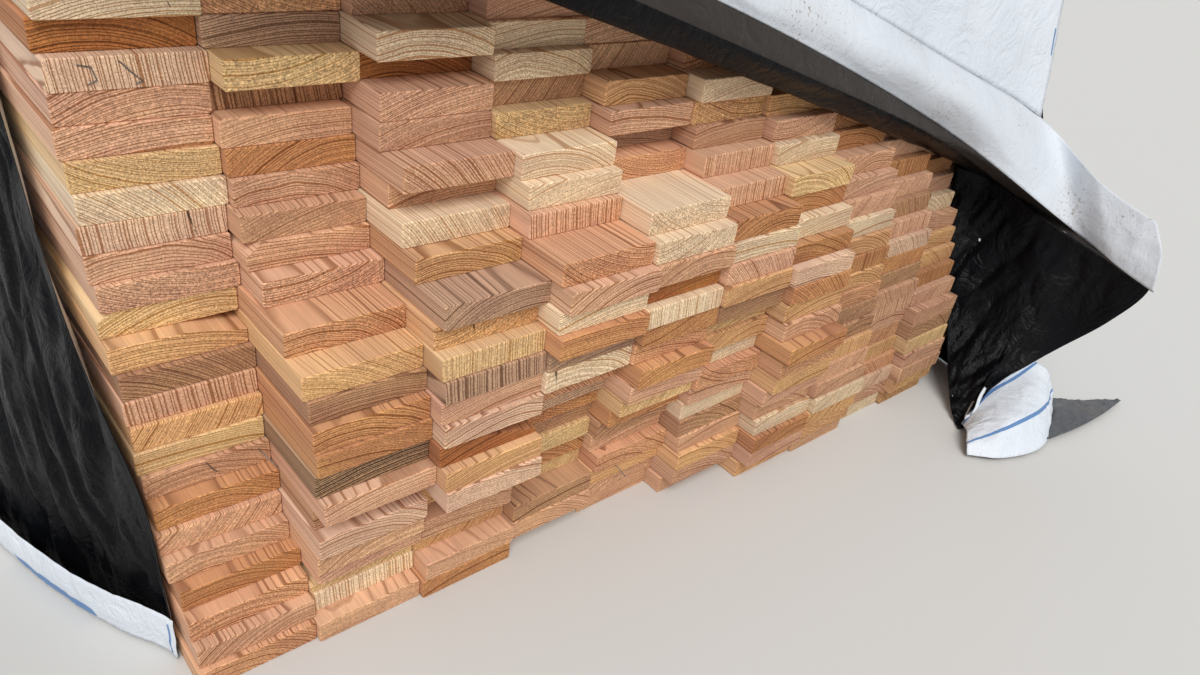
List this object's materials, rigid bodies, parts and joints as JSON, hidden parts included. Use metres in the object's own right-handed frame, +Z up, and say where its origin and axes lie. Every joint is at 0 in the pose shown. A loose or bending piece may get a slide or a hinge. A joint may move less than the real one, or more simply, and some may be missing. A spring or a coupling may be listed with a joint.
{
  "type": "stack of lumber",
  "caption": "Wrapped bundle of flat softwood boards on the ground, one end open with the sheet's flaps pulled aside and board ends standing out unevenly.",
  "frame": {"origin": "Middle of the whole bundle's footprint, on the ground.", "axes": "+Z up. +Y along the boards, from the open near end to the covered far end. +X to the right as seen from the open end."},
  "size_m": [1.2286, 4.0106, 0.6143],
  "materials": {
    "lumber": "planed softwood with saw-cut ends",
    "wrap": "woven plastic sheet, white outside and black inside, semi-gloss"
  },
  "bodies": {
    "root": {"course_01": "lumber", "course_02": "lumber", "course_03": "lumber", "course_04": "lumber", "course_05": "lumber", "course_06": "lumber", "course_07": "lumber", "course_08": "lumber", "course_09": "lumber", "course_10": "lumber", "course_11": "lumber", "course_12": "lumber", "course_13": "lumber", "course_14": "lumber", "course_15": "lumber", "course_16": "lumber", "course_17": "lumber", "course_18": "lumber", "course_19": "lumber", "course_20": "lumber", "course_21": "lumber", "course_22": "lumber", "course_23": "lumber", "course_24": "lumber", "course_25": "lumber", "course_26": "lumber", "course_27": "lumber", "course_28": "lumber", "course_29": "lumber", "course_30": "lumber", "course_31": "lumber", "course_32": "lumber", "lumber_wrap": "wrap"}
  },
  "joints": []
}
